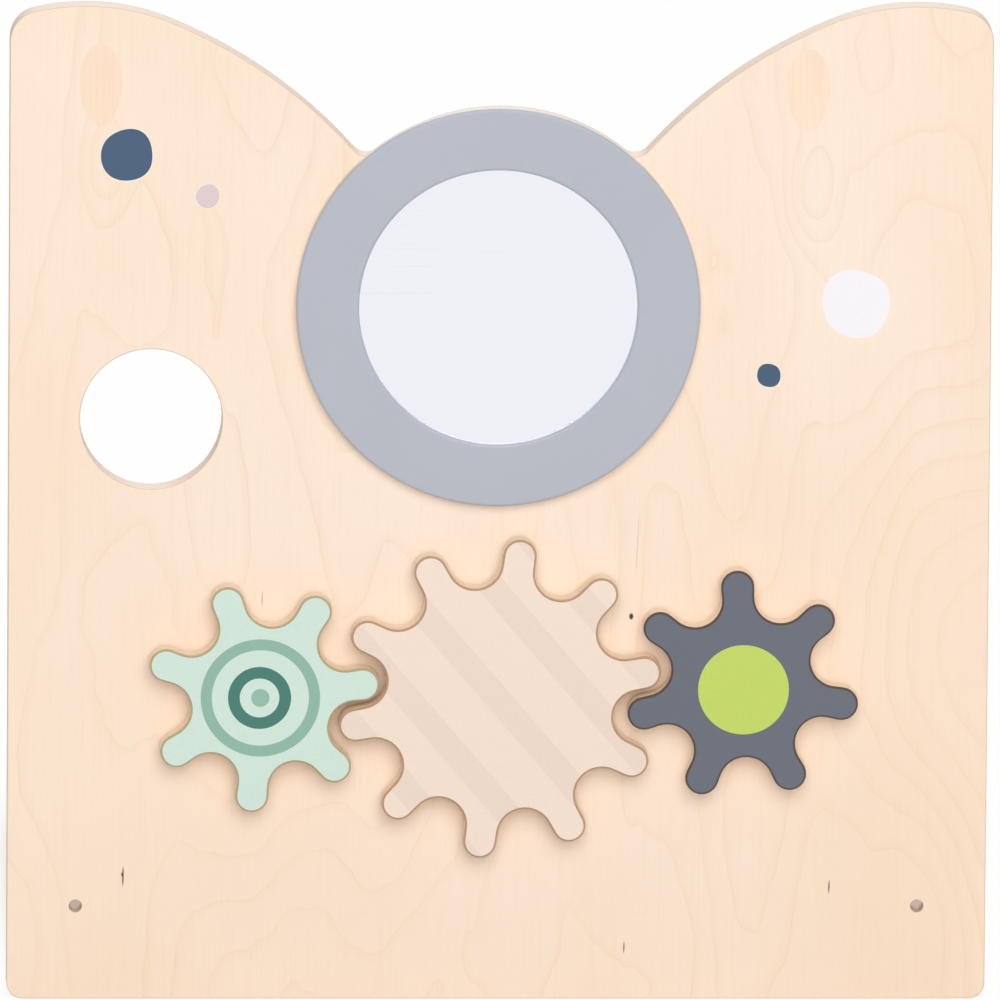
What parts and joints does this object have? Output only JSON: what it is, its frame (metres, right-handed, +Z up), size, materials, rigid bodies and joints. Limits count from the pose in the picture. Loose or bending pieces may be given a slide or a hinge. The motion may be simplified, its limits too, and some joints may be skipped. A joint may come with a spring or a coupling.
{
  "type": "gear activity wall panel",
  "caption": "Plywood play panel for a wall, with two peaks, a round framed mirror, a peep hole and meshing gears that turn by hand.",
  "frame": {"origin": "middle of the line between the two wall fixing holes, on the back face of the board", "axes": "+Z up, +X to the right as seen by the child, +Y into the wall, so the play side faces -Y"},
  "size_m": [0.6, 0.0348, 0.6175],
  "materials": {
    "birch_plywood": "clear matt lacquer on birch veneer",
    "birch_edge": "bare milled plywood edge",
    "grey_paint": "satin grey paint on fibreboard",
    "mirror": "silvered acrylic",
    "foam": "closed-cell foam",
    "mint_laminate": "printed matt laminate",
    "beige_laminate": "printed matt laminate",
    "charcoal_laminate": "printed matt laminate",
    "zinc_steel": "zinc plated",
    "brass": "turned",
    "nylon": "moulded, natural",
    "cap_plastic": "moulded, grey"
  },
  "bodies": {
    "panel": {"back_panel": "birch_plywood", "mirror_ring": "grey_paint", "mirror_disc": "mirror", "mirror_pad": "foam", "ring_screws": "zinc_steel", "left_front_bush": "nylon", "left_rear_bush": "nylon", "left_cap": "cap_plastic", "centre_front_bush": "nylon", "centre_rear_bush": "nylon", "centre_cap": "cap_plastic", "right_front_bush": "nylon", "right_rear_bush": "nylon", "right_cap": "cap_plastic"},
    "left_gear": {"left_gear": "birch_edge", "left_face": "mint_laminate", "left_insert": "brass", "left_axle": "zinc_steel", "left_washer": "zinc_steel"},
    "centre_gear": {"centre_gear": "birch_edge", "centre_face": "beige_laminate", "centre_insert": "brass", "centre_axle": "zinc_steel", "centre_washer": "zinc_steel"},
    "right_gear": {"right_gear": "birch_edge", "right_face": "charcoal_laminate", "right_insert": "brass", "right_axle": "zinc_steel", "right_washer": "zinc_steel"}
  },
  "joints": [
    {"name": "centre_gear_spin", "type": "hinge", "parent": "panel", "child": "centre_gear", "pos_m": [0.0008, -0.0198, 0.1324], "axis": [0, -1, 0], "continuous": true},
    {"name": "left_gear_spin", "type": "hinge", "parent": "panel", "child": "left_gear", "pos_m": [-0.14464, -0.0198, 0.1336], "axis": [0, -1, 0], "continuous": true},
    {"name": "right_gear_spin", "type": "hinge", "parent": "panel", "child": "right_gear", "pos_m": [0.14884, -0.0198, 0.1402], "axis": [0, -1, 0], "continuous": true}
  ],
  "couplings": [
    {"joint": "left_gear_spin", "follows": "centre_gear_spin", "ratio": -1.4286},
    {"joint": "right_gear_spin", "follows": "centre_gear_spin", "ratio": -1.4286}
  ]
}
